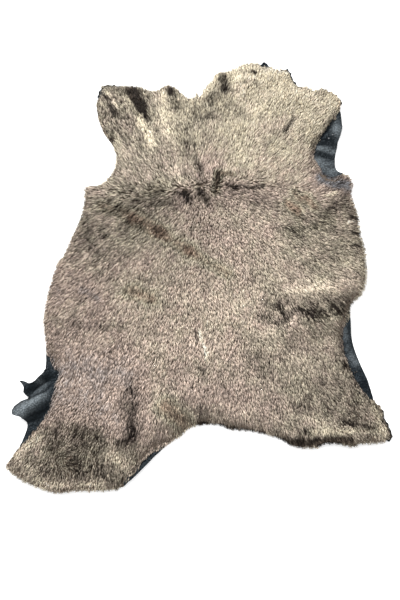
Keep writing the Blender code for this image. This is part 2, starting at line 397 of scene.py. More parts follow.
hidden_rim = [v for v in skin.verts if v.is_boundary and sample(inside_coat, *v.co.xy) > -HAIR_HANGS]
for _ in range(3):
    bmesh.ops.smooth_vert(skin, verts=hidden_rim, factor=0.4, use_axis_x=True, use_axis_y=True)
for v in skin.verts:
    v.co.z = float(sample(under, v.co.x, v.co.y))
print(len(hidden_rim), "of its edge points are drawn in")

# %% [markdown]
# Leather that has dried in folds keeps sharper creases than the folds themselves, and fine wrinkles between
# them. They are placed one by one, each as a soft trough from one place to another, and fade out at both
# ends.
# Where the leather stands proud and catches the light it is painted a lighter blue-grey, as painted light,
# and the creases are painted darker the deeper they are, as painted shade.

# %% Press the creases into the bare margins
Crease = namedtuple("Crease", "name start end width depth")
CREASES = [Crease(*row) for row in (
    ("armpit, upper", (278, 290), (340, 283), 12, 4.5),
    ("armpit, lower", (258, 264), (326, 248), 11, 5),
    ("armpit, under the hairline", (334, 376), (272, 278), 5, 2.4),
    ("armpit, faint", (284, 236), (312, 240), 5, 1.2),
    ("left groin, between its lobes", (-310, -300), (-366, -336), 7, 3.2),
    ("left groin, upper wrinkle", (-318, -262), (-352, -290), 4, 1.6),
    ("left groin, second wrinkle", (-316, -282), (-360, -318), 4, 1.8),
    ("left groin, third wrinkle", (-330, -256), (-370, -298), 3, 1.2),
    ("left groin, below the lower lobe", (-322, -366), (-364, -384), 8, 2.4),
    ("left groin, under the lobe's edge", (-374, -376), (-318, -350), 5, 2.4),
    ("left groin, behind the tab", (-364, -322), (-356, -336), 5, 3),
    ("left groin, across the lobe", (-352, -322), (-340, -352), 3, 1),
    ("left groin, across the lobe again", (-366, -338), (-352, -366), 3, 0.9),
    ("right groin, along the edge", (330, -196), (372, -306), 5, 2.4),
    ("right groin, at its end", (344, -284), (366, -322), 6, 2),
    ("left hind leg, inner edge", (-92, -438), (-142, -488), 4, 1.4),
)]
CREASE_BEND = 0.25  # how far a crease bends to either side, of its width
CREASE_FALL = 2.5  # how steeply its walls rise
FULLY_DARK = 3 * MM  # a crease this deep gets the darkest painted shade
LEAST_HEIGHT = 0.2 * MM  # what a crease leaves above the floor
RIPPLE_SIZE = 7 * MM
RIPPLE_DEPTH = 0.7 * MM


def crease_depth(place):
    """How deep the creases sink in at place, in metres."""
    depth = 0
    for crease in CREASES:
        start, end = Vector(crease.start) * MM, Vector(crease.end) * MM
        along = end - start
        share = (place - start).dot(along) / along.length_squared
        if 0 < share < 1:
            bend = CREASE_BEND * crease.width * MM * math.sin(5 * share)
            sideways = Vector((-along.y, along.x)).normalized() * bend
            away = (place - start - along * share - sideways).length / (crease.width * MM)
            fade = math.sin(math.pi * share) ** 0.5
            depth += crease.depth * MM * math.exp(-CREASE_FALL * away**2) * fade
    return depth


# %% Paint light on the high places
LitPlace = namedtuple("LitPlace", "name start end width amount")
# Painted light: the leather at these raised places is painted blue-grey.
LIT_PLACES = [LitPlace(*row) for row in (
    ("armpit, at its top", (320, 352), (330, 312), 12, 0.6),
    ("armpit, between the bands", (278, 275), (324, 266), 7, 0.7),
    ("armpit, low", (276, 240), (312, 214), 17, 0.58),
    ("left groin, lower lobe", (-378, -364), (-334, -322), 12, 0.92),
    ("left groin, the lobe's end", (-386, -374), (-372, -368), 6, 0.45),
    ("left groin, upper lobe", (-350, -286), (-330, -300), 7, 0.3),
    ("left groin, top", (-312, -246), (-306, -226), 8, 0.3),
    ("right groin, at its top", (309, -168), (314, -194), 8, 0.5),
    ("right groin, low", (328, -238), (338, -254), 7, 0.35),
    ("right groin, along the hairline", (318, -215), (328, -252), 8, 0.17),
    ("left hind leg, inner edge", (-100, -438), (-76, -420), 6, 0.4),
)]


def painted_light_share(x, y):
    """How much painted light the leather at x, y gets as blue-grey, from 0 to 1."""
    total = 0
    for patch in LIT_PLACES:
        away = away_from(patch.start, patch.end, x, y) / (patch.width * MM)
        total = total + patch.amount * np.exp(-(away**2))
    return np.minimum(total, 1)


# Each bare point keeps the painted shade of its crease and its painted light.
pressed = skin.verts.layers.float.new("pressed")
dusty = skin.verts.layers.float.new("dusty")
for v in skin.verts:
    if is_bare(v):
        depth = crease_depth(v.co.xy)
        v[dusty] = float(painted_light_share(v.co.x, v.co.y))
        v.co.z -= min(depth, max(v.co.z - LEAST_HEIGHT, 0))
        v.co.z += RIPPLE_DEPTH * noise.noise(v.co / RIPPLE_SIZE)
        v.co.z = max(v.co.z, 0)
        v[pressed] = min(depth / FULLY_DARK, 1)
print(len(CREASES), "creases and", len(LIT_PLACES), "rubbed places")

# %% [markdown]
# A skin is dried on a frame, held by toggle clips or nails along its edge, and they leave small holes. Such
# a hole is quickly made where the mesh is fine: bevel one vertex, which opens a small face round it, and
# delete that face.

# %% Toggle holes
HOLE_RADIUS = 1.7 * MM
HOLE_REACH = 3 * MM  # the opened face lies this near to its middle
TOGGLE_HOLES = ((307, 303), (316, 312), (-301, -276), (-300, -288), (-306, -291))

for across, along in TOGGLE_HOLES:
    place = Vector((across, along)) * MM
    centre = min(skin.verts, key=lambda v: (v.co.xy - place).length)
    made = bmesh.ops.bevel(
        skin, geom=[centre], offset=HOLE_RADIUS, affect="VERTICES", segments=1, profile=0.5
    )
    opened = [f for f in made["faces"] if (f.calc_center_median().xy - place).length < HOLE_REACH]
    bmesh.ops.delete(skin, geom=opened, context="FACES")
print(len(TOGGLE_HOLES), "toggle holes,", len(skin.faces), "faces")

# %% Leather finish
leather, shader, add, link = new_material("black leather", 0.42, 0.12)
place = add("TexCoord").outputs["Object"]
pebbles = add("TexVoronoi", {"feature": "SMOOTH_F1"}, Vector=place, Scale=300.0, Smoothness=0.3)
wrinkles = add("TexNoise", Vector=place, Scale=110.0, Detail=4.0, Distortion=1.2)
blotches = add("TexNoise", Vector=place, Scale=30.0, Detail=3.0)
black = ramp(add, blotches.outputs["Fac"], ((0.3, (0.003, 0.005, 0.007, 1)), (0.7, (0.010, 0.015, 0.019, 1))))
# Painted light: the raised leather is painted blue-grey.
painted_light = stored(add, "dusty")
tone = mix(add, link, painted_light, black, (0.19, 0.215, 0.23, 1))
worn = ramp(add, pebbles.outputs["Distance"], ((0.15, grey(1)), (0.65, grey(0.35))))
grained = mix(add, link, 1.0, tone, worn, "MULTIPLY")
# Painted shade: the creases are painted near black, the deeper the darker.
crease = stored(add, "pressed")
link(mix(add, link, crease, grained, (0.002, 0.003, 0.004, 1)), shader.inputs["Base Color"])
shader.inputs["Specular Tint"].default_value = (0.78, 0.91, 1.0, 1)
coarse = add("Bump", Strength=0.9, Distance=2.6 * MM, Height=wrinkles.outputs["Fac"])
fine = add("Bump", {"invert": True}, Strength=1.0, Distance=1.3 * MM, Height=pebbles.outputs["Distance"])
link(coarse.outputs["Normal"], fine.inputs["Normal"])
link(fine.outputs["Normal"], shader.inputs["Normal"])

skin_piece = add_piece("leather_skin", skin, leather)
thickness = skin_piece.modifiers.new("thickness", "SOLIDIFY")
thickness.thickness = SKIN
thickness.offset = 1

# %% [markdown]
# ## The underwool
# Between the hairs of a short-haired sheep is a dense felt of fine wool. It is never seen clearly. Its dark
# brown is partly the wool's own colour and partly painted shade, which keeps the gaps between the locks dark
# and soft. One closed quilt over the skin stands for it, so the hairs can spend their faces on the upper half
# of the coat, which is all that shows.

# %% The quilt's form
BED_CUTS = 1
BED_QUILT = 1.2 * MM  # the felt's thickness
BED_INSET = 1 * MM  # how far inside the coat it stops
BED_RIM = 0.6  # of the leather's thickness, how high its edge is
LUMP_SIZE = 6 * MM
LUMP_HEIGHT = 0.8 * MM

wool = lid.copy()
bald_faces = [f for f in wool.faces if sample(inside_coat, *f.calc_center_median().xy) < BED_INSET]
bmesh.ops.delete(wool, geom=bald_faces, context="FACES")
bmesh.ops.subdivide_edges(wool, edges=wool.edges, cuts=BED_CUTS, use_grid_fill=True)
wool_rim = [v for v in wool.verts if v.is_boundary]
for _ in range(4):
    bmesh.ops.smooth_vert(wool, verts=wool_rim, factor=0.5, use_axis_x=True, use_axis_y=True)
for v in wool.verts:
    x, y = v.co.xy
    height = float(sample(bed, x, y))
    if v.is_boundary:
        height = float(sample(under, x, y)) + SKIN * BED_RIM
    else:
        height += LUMP_HEIGHT * noise.noise(v.co / LUMP_SIZE)
    v.co.z = height
print("underwool", len(wool.faces), "faces")

# %% Underwool finish
underwool, shader, add, link = new_material("underwool", 0.95, 0.1)
place = add("TexCoord").outputs["Object"]
felt = add("TexNoise", Vector=place, Scale=500.0, Detail=5.0)
tufts = add("TexVoronoi", Vector=place, Scale=160.0)
# The felt's dark brown is partly its own colour and partly painted shade for the gaps between the locks.
depth = ramp(add, felt.outputs["Fac"], ((0.3, (0.030, 0.022, 0.017, 1)), (0.75, (0.16, 0.125, 0.095, 1))))
link(depth, shader.inputs["Base Color"])
rough = add("Bump", Strength=1.0, Distance=1.5 * MM, Height=tufts.outputs["Distance"])
link(rough.outputs["Normal"], shader.inputs["Normal"])

wool_piece = add_piece("underwool", wool, underwool)
quilt = wool_piece.modifiers.new("quilt", "SOLIDIFY")
quilt.thickness = BED_QUILT
quilt.offset = -1

# %% [markdown]
# ## How the hair lies
# On a sheep's back all hair flows away from a parting across the withers: up the neck and the forelegs on
# one side of it, down the back and out over the flanks to the hind legs on the other. So the lie of a hair
# comes from where its root is, seen from the whorl in the middle of the parting, and slow noise bends it a
# little. On the left hind leg it also runs round a small curl.

# %% The flow
PARTING = ((-300, 138), (-100, 152), (6, 165), (144, 174), (225, 152), (345, 112))
WHORL = np.array((6, 165)) * MM
WHORL_SIZE = 40 * MM
CURL = np.array((-272, -455)) * MM  # on the left hind leg
CURL_SIZE = 32 * MM
CURL_SHARE = 0.9  # how much of the flow at its middle follows the curl
WAVER = 13 * MM  # how far the parting wanders off its line
WAVER_SIZE = 26 * MM
TURN = 22 * MM  # the width over which the hair turns at the parting
STRAIGHTEN_UP = 105 * MM  # how much straighter hair runs above the parting
STRAIGHTEN_DOWN = (90 * MM, 30 * MM)  # the same below it, left and right
STRAIGHTEN_FADE = 100 * MM  # how far below that reaches
OUTWARD = 0.67  # how far the flow fans out to the sides; 1 is straight away from the whorl
SWAY = math.radians(12)  # how far slow noise turns the flow
SWAY_SIZE = 75 * MM
RUFFLE = math.radians(6)  # the same for quicker noise
RUFFLE_SIZE = 22 * MM
NOISE_SCALE = 1.6  # brings smooth noise to between about -1 and 1


def slow_noise(x, y, size, seed):
    """Smooth noise between about -1 and 1 at each x, y."""
    points = zip(np.ravel(x) / size, np.ravel(y) / size)
    found = [noise.noise(Vector((a, b, seed))) for a, b in points]
    return np.reshape(found, np.shape(x)) * NOISE_SCALE


def flow_angle(x, y):
    """The direction in which the hair at x, y points, in radians from +X."""
    line_x, line_y = np.array(PARTING).T * MM
    up = y - np.interp(x, line_x, line_y) + WAVER * slow_noise(x, y, WAVER_SIZE, seed=4.4)
    turn_quickly = np.tanh(up / TURN)
    below = np.where(x < WHORL[0], *STRAIGHTEN_DOWN) * np.exp(up / STRAIGHTEN_FADE)
    up = up + turn_quickly * np.where(up > 0, STRAIGHTEN_UP, below)
    angle = np.arctan2(up, (x - WHORL[0]) * OUTWARD)
    from_curl = np.hypot(x - CURL[0], y - CURL[1])
    round_it = np.arctan2(x - CURL[0], CURL[1] - y)
    share = CURL_SHARE * np.exp(-((from_curl / CURL_SIZE) ** 2))
    along = (1 - share) * np.sin(angle) + share * np.sin(round_it)
    across = (1 - share) * np.cos(angle) + share * np.cos(round_it)
    swayed = np.arctan2(along, across) + SWAY * slow_noise(x, y, SWAY_SIZE, seed=3.1)
    return swayed + RUFFLE * slow_noise(x, y, RUFFLE_SIZE, seed=7.3)


# %% [markdown]
# ## Where the coat is light and dark
# The coat is cream at the tips over dark roots, and both shift from place to place: the neck and the edges
# are palest, the hind legs are grey-brown, and the whorl shows its dark roots. Two numbers describe a place:
# its tone, from 0 for dark to 1 for light, and its warmth, from 0 for mauve-grey to 1 for cream. A tone past
# 1 is bleached, a warmth below 0 is the lavender-grey of thin hair, and one past 1 is russet. A short table
# gives both at named places, and each counts for less the further away it is. A second table adds the
# markings, as soft streaks that shift the tone or the warmth.

# %% Tone and warmth at named places
Zone = namedtuple("Zone", "name across along reach tone warmth")
ZONES = [Zone(*row) for row in (
    ("neck", 130, 450, 80, 0.89, 0.9),
    ("neck, right side", 150, 330, 90, 0.79, 0.75),
    ("right foreleg", 280, 380, 70, 0.88, 0.85),
    ("right shoulder", 240, 160, 70, 0.7, 0.35),
    ("withers", 0, 165, 60, 0.56, 0.1),
    ("withers, right", 150, 110, 60, 0.65, 0.25),
    ("left foreleg, outer side", -200, 370, 55, 0.36, 0.65),
    ("left foreleg, inner side", -70, 340, 50, 0.54, 0.9),
    ("neck, left side", 10, 370, 55, 0.48, 0.9),
    ("left shoulder", -150, 220, 70, 0.41, 0.6),
    ("back, middle", 20, 40, 90, 0.68, 0.22),
    ("left flank, front", -220, 60, 90, 0.44, 0.5),
    ("left flank", -280, -100, 80, 0.62, 0.05),
    ("back, left", -130, -90, 80, 0.71, 0.38),
    ("right flank", 290, 40, 70, 0.51, 0.6),
    ("back, right", 170, -30, 70, 0.65, 0.5),
    ("back, rear", 30, -150, 90, 0.81, 0.35),
    ("right loin", 200, -240, 70, 0.6, 0.55),
    ("rump", 20, -320, 80, 0.67, 0.15),
    ("right hind leg", 290, -330, 65, 0.38, 0.55),
    ("right hind leg, end", 350, -390, 45, 0.45, 0.6),
    ("left hind leg, upper", -240, -310, 70, 0.74, -0.35),
    ("left hind leg", -260, -450, 60, 0.3, 0.6),
    ("left hind leg, end", -350, -450, 40, 0.6, 0.55),
)]


def zone_value(x, y, column):
    """Tone or warmth at each x, y, blended from the zones by distance."""
    total, weights = 0, 0
    for zone in ZONES:
        away = ((x / MM - zone.across) ** 2 + (y / MM - zone.along) ** 2) / zone.reach**2
        weight = 1 / (1 + away) ** 3
        total = total + weight * getattr(zone, column)
        weights = weights + weight
    return total / weights


# %% Markings: streaks that are darker or lighter than the coat round them
Mark = namedtuple("Mark", "name start end width tone warmth", defaults=(0,))
# Most rows are the coat's own markings; the rows noted below paint shade into creases, troughs and folds, and
# light onto the ridges beside them.
MARKS = [Mark(*row) for row in (
    ("left fore, black mark", (-166, 430), (-141, 378), 14, -1.25),
    ("tail of the black mark", (-136, 370), (-127, 348), 8, -0.55),
    ("dark spot beside it", (-72, 435), (-71, 423), 8, -0.9),
    ("streak under the spot", (-68, 415), (-56, 383), 9, -0.35),
    ("neck left, brown streak", (-13, 380), (-12, 350), 8, -0.1),
    ("neck left, dark streak", (-36, 288), (-30, 258), 8, -0.25),
    ("dark streak past that", (-33, 317), (-14, 276), 6, -0.25),
    ("dark streak to the whorl", (-9, 249), (9, 182), 6, -0.25),
    ("left fore, upper dark spots", (-224, 407), (-216, 399), 7, -0.6, -0.4),
    ("left fore, lower dark spots", (-216, 381), (-206, 363), 7, -0.45),
    ("left fore, dark rim", (-212, 298), (-210, 288), 6, -0.6),
    ("left fore, white hairs", (-226, 422), (-196, 376), 4, 0.45),
    ("cream beside the black mark", (-178, 415), (-140, 347), 8, 0.34, 0.3),
    ("left fore, cream streak", (-146, 347), (-112, 279), 9, 0.46, 0.3),
    ("left fore, cream patch", (-80, 357), (-74, 307), 15, 0.25, 0.1),
    ("cream streak above it", (-90, 423), (-86, 380), 9, 0.25, 0.1),
    ("brown left shoulder", (-116, 156), (-35, 188), 16, -0.14, 0.5),
    ("cream tufts at the notch", (-2, 423), (14, 437), 10, 0.35),
    ("neck, dark patch", (56, 472), (62, 434), 12, -0.9),
    ("brown below that", (46, 430), (24, 400), 14, -0.34, -0.1),
    ("neck, dark band", (78, 393), (99, 361), 13, -0.28),
    ("neck, step across it", (0, 357), (106, 359), 9, -0.14),
    ("neck, dot", (130, 483), (134, 479), 6, -1.3),
    ("dark hairs beside it", (100, 482), (122, 481), 6, -0.4),
    ("cream curl under the dot", (96, 468), (142, 465), 6, 0.3, 0.1),
    ("brown curl under that", (94, 457), (138, 453), 6, -0.25),
    ("neck, cream rim", (160, 498), (210, 482), 10, 0.35, 0.1),
    ("right fore, cream tuft", (238, 423), (252, 417), 14, 0.3),
    # Painted shade in the crease from the right foreleg towards the neck, and below it.
    ("right fore, dark crease", (228, 357), (203, 319), 6, -0.65),
    ("soft crease below that", (198, 317), (150, 275), 12, -0.25),
    ("armpit, brown patch", (208, 281), (236, 297), 10, -0.22),
    # Painted shadow where the coat's edge overhangs the armpit's leather.
    ("armpit, painted shadow at the hairline", (318, 350), (268, 274), 5, -0.4),
    ("armpit, thin hair below it", (288, 194), (339, 172), 18, -0.36, -2.5),
    # Painted shadow under the fold below the armpit, and painted light on the ridge above it.
    ("armpit, dark fold below it", (335, 149), (289, 101), 14, -0.3),
    ("light ridge above the fold", (296, 147), (339, 165), 5, 0.22, 0.5),
    ("dark rim beside the fold", (339, 137), (347, 90), 10, -0.18),
    ("white tuft at the rim", (336, 76), (347, 82), 3.5, 0.9, 0.2),
    ("dark hairs beside it", (345, 90), (359, 86), 4, -0.9),
    ("dark tick at the rim", (345, 52), (363, 50), 3, -1),
    ("another dark tick", (348, 20), (363, 18), 3, -0.9),
    ("whorl, left tuft", (-34, 152), (-25, 128), 8, -0.6),
    ("whorl, middle tuft", (-2, 157), (16, 129), 8, -0.5),
    ("whorl, right tuft", (42, 202), (38, 152), 9, -0.6, 1.8),
    ("whorl, far left tuft", (-56, 152), (-40, 142), 7, -0.3),
    ("dark tuft right of them", (66, 168), (82, 162), 7, -0.55),
    ("whorl, parting right", (82, 167), (146, 168), 7, -0.38),
    ("reddish tuft above it", (54, 203), (78, 200), 6, -0.4, 1.6),
    ("whorl, brown patch right", (104, 150), (140, 130), 13, -0.2),
    ("dark patch past that", (134, 122), (190, 104), 17, -0.16),
    ("whorl, dark patch left", (-60, 132), (-108, 124), 20, -0.16),
    ("whorl, dark swath left", (-166, 152), (-64, 124), 24, -0.13),
    ("whorl, light tuft left", (-54, 218), (-46, 170), 5, 0.25),
    ("whorl, dark hair above it", (-19, 236), (0, 165), 16, -0.15, 0.2),
    ("shoulder, reddish tufts", (203, 124), (225, 103), 13, -0.24, 1.8),
    ("reddish tufts further out", (245, 139), (262, 114), 11, -0.22, 1.7),
    ("shoulder, dark patch", (204, 71), (228, 35), 12, -0.3),
    ("armpit, brown tuft near it", (218, 153), (230, 133), 9, -0.33, 1.2),
    ("left back, brown stroke", (-150, 84), (-91, 53), 19, -0.22, 1.5),
    ("brown stroke past that", (-91, 49), (-27, 8), 17, -0.24, 1.5),
    ("brown stroke before them", (-221, 119), (-160, 92), 17, -0.18, 1),
    ("brown stroke at their end", (-20, 2), (60, -50), 15, -0.17, 1.2),
    ("left flank, dark patch", (-263, 39), (-225, 0), 11, -0.22),
    ("left flank, dark rim", (-262, 77), (-249, 42), 8, -0.22),
    ("left flank, purple patch", (-261, -87), (-229, -105), 10, -0.12, -0.6),
    ("left flank, low dark patch", (-270, -166), (-200, -180), 9, -0.18),
    ("left loin, brown patch", (-150, -92), (-108, -110), 17, -0.19, 1.4),
    ("right flank, dark patch", (191, 49), (297, 74), 12, -0.16, 0.3),
    ("right flank, dark stroke", (198, 5), (250, -39), 11, -0.16, 0.3),
    ("right flank, dark tick", (229, 90), (264, 64), 7, -0.2),
    # Painted shade in the right flank's trough and the creases round it, and painted light on the ridge above
    # it and the band below it, over the real fold.
    ("trough, dark band", (200, -148), (226, -138), 10, -0.24),
    ("trough, dark hook", (169, -127), (190, -155), 9, -0.46),
    ("dark left of the hook", (131, -154), (183, -166), 10, -0.34),
    ("trough, high end", (219, -130), (334, -117), 18, -0.38),
    ("olive shade below that", (258, -146), (311, -144), 14, -0.13, 0.3),
    ("trough, olive left", (220, -162), (262, -152), 12, -0.26, 0.3),
    ("trough, right end", (290, -130), (330, -133), 12, -0.24, 0.2),
    ("olive shade below that end", (268, -153), (312, -151), 10, -0.17, 0.2),
    ("trough, darkest line", (226, -144), (276, -136), 7, -0.12),
    ("trough, soft painted shade below it", (226, -150), (290, -146), 8, -0.08, -0.2),
    ("light crescent below it", (194, -172), (214, -146), 6, 0.3),
    ("dark patch left of it", (109, -150), (150, -144), 9, -0.1),
    ("dark stroke above that", (136, -115), (185, -145), 9, -0.22),
    ("crease above it", (140, -89), (198, -119), 9, -0.25),
    ("right flank, ridge", (199, -89), (350, -76), 12, 0.34),
    ("trough, light below it", (290, -166), (312, -173), 9, 0.14),
    # Painted shade in the left hind leg's trough, and painted light on either side of it and on the bump
    # below.
    ("leg trough", (-146, -318), (-138, -404), 16, -0.5),
    ("leg trough, thin upper end", (-150, -286), (-147, -312), 7, -0.16),
    ("light right of it", (-121, -295), (-110, -400), 8, 0.1),
    ("light further right", (-100, -295), (-94, -395), 15, 0.04),
    ("light left of it", (-186, -377), (-178, -415), 15, 0.2),
    ("left hind, bump", (-181, -449), (-158, -466), 14, 0.55),
    ("cross mark above the bump", (-171, -424), (-136, -416), 6, -0.3, -0.3),
    ("left hind, dark middle", (-262, -441), (-250, -487), 14, -0.12),
    ("left hind, dark upper", (-257, -404), (-207, -416), 11, -0.12),
    ("left hind, dark right", (-228, -433), (-196, -435), 10, -0.12),
    ("left hind, dark left", (-318, -485), (-306, -441), 10, -0.12),
    ("left hind, cream hairline", (-374, -450), (-338, -414), 9, 0.5, 0.2),
    ("left hind, cream rim", (-330, -508), (-200, -512), 10, 0.55, 0.2),
    ("spine, light streak", (-2, -184), (13, -234), 4.5, 0.62, 0.4),
    ("spine, bright tuft", (11, -236), (15, -252), 5, 0.55, 0.4),
    ("dark line beside the streak", (-10, -180), (-5, -208), 4, -0.6),
    ("spine, dark ticks", (-3, -269), (7, -273), 5, -0.45),
    ("rump, dark notch", (4, -355), (8, -389), 10, -0.45),
    ("rump, brown patch", (-72, -352), (-36, -379), 23, -0.3, 1.8),
    ("rump, dark rim", (0, -380), (46, -389), 7, -0.75),
    ("dark rim past that", (46, -389), (128, -403), 7, -0.75),
    ("right loin, dark patch", (108, -211), (130, -273), 20, -0.18),
    ("right hind, dark spots", (302, -381), (357, -396), 8, -0.4),
    ("right hind, dark tuft", (214, -404), (222, -400), 5, -0.4),
    ("right hind, dot", (307, -257), (311, -261), 6, -0.5),
    ("right hind, light patch", (226, -377), (272, -391), 14, 0.3),
    ("right hind, cream rim", (230, -403), (385, -398), 7, 0.28, 0.4),
    ("right hind, dark edge", (130, -408), (206, -425), 7, -0.8),
    ("dark edge, further out", (206, -425), (310, -419), 7, -0.9),
    ("right hind, dark rim", (384, -372), (399, -414), 5, -0.55),
    ("cream band inside that", (368, -358), (381, -411), 7, 0.22, 0.3),
)]


def mark_value(x, y, column):
    """How much the marks shift the tone or the warmth at each x, y."""
    total = np.zeros(np.shape(x))
    for mark in MARKS:
        away = away_from(mark.start, mark.end, x, y) / (mark.width * MM)
        total += getattr(mark, column) * np.exp(-(away**2))
    return total


print(len(ZONES), "named places and", len(MARKS), "markings")

# %% [markdown]
# ## Locks and hairs
# Short hair gathers in small pointed locks, and at arm's length the locks are what one sees. So the locks
# are laid out first, on a jittered lattice, each with its own direction, length and shade. Each lock then
# gets its hairs: their roots spread round the lock's, and their tips draw together. A hair here is a strand
# of many, a slim closed blade with four corners: its root, its two sides where it is widest and bends over,
# and its tip. There are far too many for one object each, so their corners are worked out together as
# arrays, and joined into a few meshes.

# %% Lay out the locks
LOCK_GAP = 3.1 * MM
HAIRS = 3  # in each lock
JITTER = 0.42  # of the gap, how far a lock stands off its place
COAT_INSET = 1.0 * MM  # how far inside the coat its root stays
RIM_INSET = 2.0 * MM  # how far from the cut edge
rng = np.random.default_rng(12)

lattice_x, lattice_y = np.meshgrid(
    np.arange(low[0], high[0], LOCK_GAP), np.arange(low[1], high[1], LOCK_GAP * math.sqrt(0.75))
)
lattice_x[1::2] += LOCK_GAP / 2
lock_x = (lattice_x + rng.uniform(-JITTER, JITTER, lattice_x.shape) * LOCK_GAP).ravel()
lock_y = (lattice_y + rng.uniform(-JITTER, JITTER, lattice_y.shape) * LOCK_GAP).ravel()
keep = sample(inside_coat, lock_x, lock_y) > COAT_INSET
keep &= sample(inside_rim, lock_x, lock_y) > RIM_INSET
lock_x, lock_y = lock_x[keep], lock_y[keep]
locks = len(lock_x)
print(locks, "locks of", HAIRS, "hairs")

# %% Give each lock its lie
LENGTH = 16 * MM  # how far a lock reaches sideways, on the back
SHORT = 9 * MM  # the same on the legs
UNLIKE = (0.70, 1.25)  # the shortest and longest, as shares
THIN_COAT = 5 * MM  # how deep the coat is where locks are short
FULL_COAT = 14 * MM  # how deep it is where they are long
STRAY = 0.13  # how far locks stray from the flow, in radians
STRAY_AT_WHORL = 0.2  # how much more they do there
STRAY_AT_PARTING = 0.4
PARTING_WIDTH = 16 * MM
LIFT = 0.9 * MM  # how unlike the locks are in height
LIFT_AT_WHORL = 0.5 * MM
Short = namedtuple("Short", "name across along size share")
SHORT_PLACES = [Short(*row) for row in (
    ("below the whorl", 30, 85, 75, 0.28),
    ("left hind leg", -270, -440, 100, 0.4),
    ("right hind leg", 330, -380, 75, 0.35),
)]

from_whorl = np.hypot(lock_x - WHORL[0], lock_y - WHORL[1])
swirl = np.exp(-((from_whorl / WHORL_SIZE) ** 2))
parting_y = np.interp(lock_x, *(np.array(PARTING).T * MM))
untidy = np.exp(-(((lock_y - parting_y) / PARTING_WIDTH) ** 2))
stray = STRAY + STRAY_AT_WHORL * swirl + STRAY_AT_PARTING * untidy
lock_angle = flow_angle(lock_x, lock_y) + rng.normal(0, stray, locks)
coat_here = sample(top - under, lock_x, lock_y)
fullness = np.clip((coat_here - THIN_COAT) / (FULL_COAT - THIN_COAT), 0, 1)
lock_length = (SHORT + (LENGTH - SHORT) * fullness) * rng.uniform(*UNLIKE, locks)
for place in SHORT_PLACES:
    away = np.hypot(lock_x - place.across * MM, lock_y - place.along * MM) / (place.size * MM)
    lock_length *= 1 - place.share * np.exp(-(away**2))
lock_lift = rng.normal(0, LIFT, locks) + LIFT_AT_WHORL * swirl

# %% Keep each lock near the coat's own edge
OVERHANG = 1.5 * MM  # how far a tip may stand past the cut edge
FRINGE = 2.5 * MM  # how far a tip may hang over bare leather
LEAST_SHARE = 0.15  # of its length, which a hair always keeps


def ahead_of(x, y, angle, distance):
    """The places at a distance from x, y in the direction angle."""
    return x + distance * np.cos(angle), y + distance * np.sin(angle)


def held_in(from_x, from_y, to_x, to_y):
    """How much of the way from root to tip a hair may go."""
    share = np.ones(np.shape(from_x))
    for field, allowed in ((inside_rim, OVERHANG), (inside_coat, FRINGE)):
        root_in = np.maximum(sample(field, from_x, from_y), 0)
        tip_out = -sample(field, to_x, to_y)
        most = (root_in + allowed) / np.maximum(root_in + tip_out, 1e-6)
        share = np.where(tip_out > allowed, np.minimum(share, most), share)
    return np.clip(share, LEAST_SHARE, 1)


lock_tip = ahead_of(lock_x, lock_y, lock_angle, lock_length)
lock_length *= held_in(lock_x, lock_y, *lock_tip)
print("locks reach", round(float(lock_length.mean() / MM), 1), "mm in the mean")

# %% Give each lock its colour, read where most of it shows
SHOWS_AT = 0.6  # of its length
DARK_SHARE = 0.14  # of the locks are dark to the tip
DARK_LOCK = 0.17  # how much darker they are
STREAK = 0.13  # how much lighter or darker the streaks along the flow are
STREAK_WIDTH = 1.9 * MM
STREAK_STEP = 0.33  # of a lock's length
TONE_NOISE = ((0.10, 26 * MM, 8.0), (0.03, 10 * MM, 5.0))  # amount, size and seed of slow noise
WARMTH_NOISE = ((0.25, 60 * MM, 1.0), (0.2, 18 * MM, 2.0))
UNLIKE_TONE = 0.055  # how unlike neighbouring locks are
UNLIKE_WARMTH = 0.12
EDGE_TONE, EDGE_WARMTH = 0.14, 0.3  # the cut edge is paler and creamier
EDGE_FADE = 7 * MM
FRINGE_TONE, FRINGE_WARMTH = -0.22, -0.4  # hair over leather is darker and greyer
FRINGE_FADE = 4 * MM
FRINGE_CLEAR = 10 * MM  # from half of this to one and a half inside the cut edge


def noises(table):
    """Slow noise of several sizes together, where each lock shows."""
    return sum(amount * slow_noise(*seen, size, seed) for amount, size, seed in table)


seen = ahead_of(lock_x, lock_y, lock_angle, SHOWS_AT * lock_length)
lock_tone = zone_value(*seen, "tone") + mark_value(*seen, "tone")
lock_tone += noises(TONE_NOISE)
for step in range(-2, 3):
    along_streak = ahead_of(*seen, lock_angle, STREAK_STEP * lock_length * step)
    lock_tone += STREAK * slow_noise(*along_streak, STREAK_WIDTH, seed=2.5)
lock_tone += rng.normal(0, UNLIKE_TONE, locks) - DARK_LOCK * (rng.uniform(0, 1, locks) < DARK_SHARE)
seen_in_rim = sample(inside_rim, *seen)
seen_in_coat = sample(inside_coat, *seen)
edge_pale = np.exp(-np.maximum(seen_in_rim, 0) / EDGE_FADE)
over_leather = np.exp(-np.maximum(seen_in_coat, 0) / FRINGE_FADE)
over_leather *= np.clip(seen_in_rim / FRINGE_CLEAR - 0.5, 0, 1)
lock_tone += EDGE_TONE * edge_pale + FRINGE_TONE * over_leather
lock_warmth = zone_value(*seen, "warmth") + mark_value(*seen, "warmth")
lock_warmth += rng.normal(0, UNLIKE_WARMTH, locks)
lock_warmth += EDGE_WARMTH * edge_pale + FRINGE_WARMTH * over_leather + noises(WARMTH_NOISE)
print("tone", round(float(lock_tone.mean()), 2), "in the mean")

# %% Spread the hairs of each lock
CLUMPING = 0.65  # how far tips draw together
LOCK_SPREAD = 1.1 * MM
HAIR_STRAY = 0.08  # how far hairs stray from their lock, in radians
HAIR_UNLIKE = (0.75, 1.2)
HAIR_TONE = 0.05  # how unlike the hairs of a lock are


def per_hair(values):
    """Each lock's value, once for each of its hairs."""
    return np.repeat(values, HAIRS)


